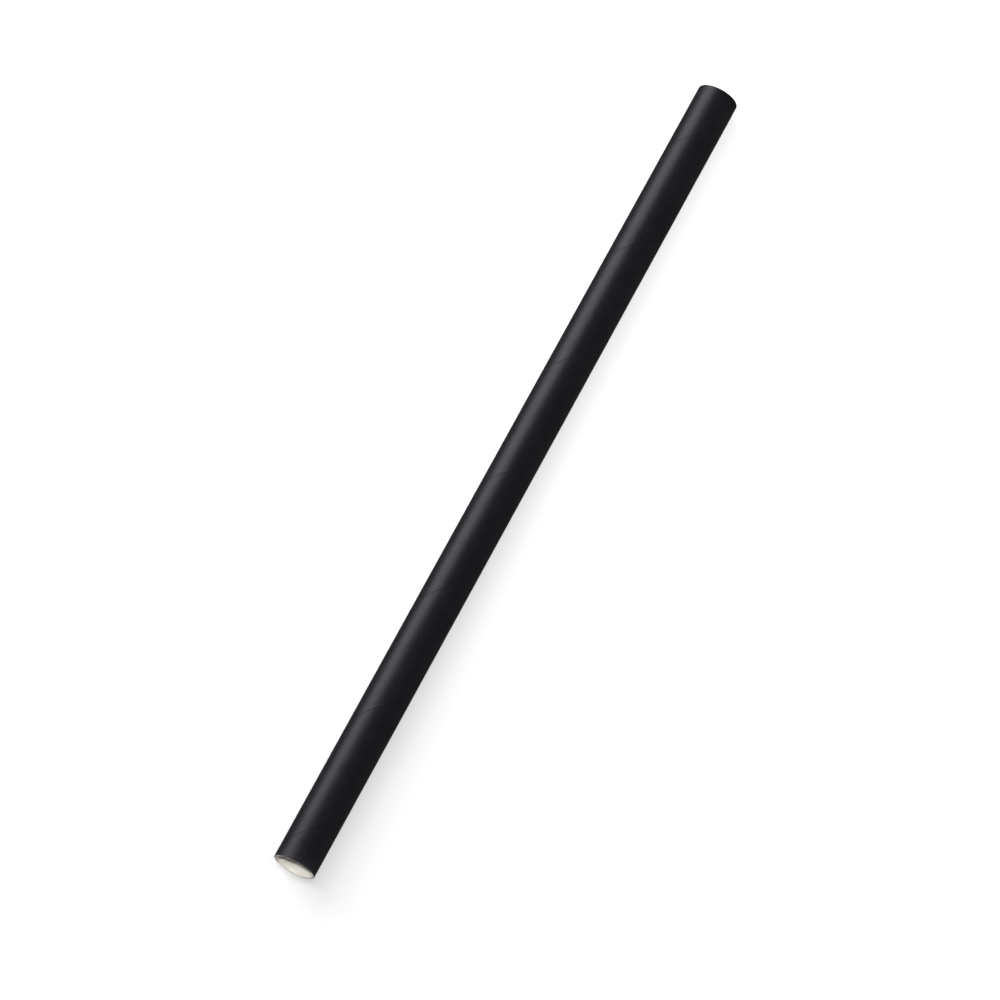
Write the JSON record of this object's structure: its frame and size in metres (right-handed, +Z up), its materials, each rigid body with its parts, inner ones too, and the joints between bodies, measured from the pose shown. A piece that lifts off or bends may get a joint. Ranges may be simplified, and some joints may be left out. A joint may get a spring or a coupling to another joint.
{
  "type": "paper drinking straw",
  "caption": "Straight black paper drinking straw: a plain open tube, black outside and pale inside, with square-cut ends.",
  "frame": {"origin": "middle of the straw's length, straight below its axis, on the surface that it lies on", "axes": "+X along the straw's axis, towards the end that is further from the camera in the picture; +Z up from the surface that it lies on"},
  "size_m": [0.21, 0.01, 0.01],
  "materials": {
    "black_paper": "satin black paper outside, with pale uncoated paper at the cut ends and inside"
  },
  "bodies": {
    "root": {"straw_tube": "black_paper"}
  },
  "joints": []
}
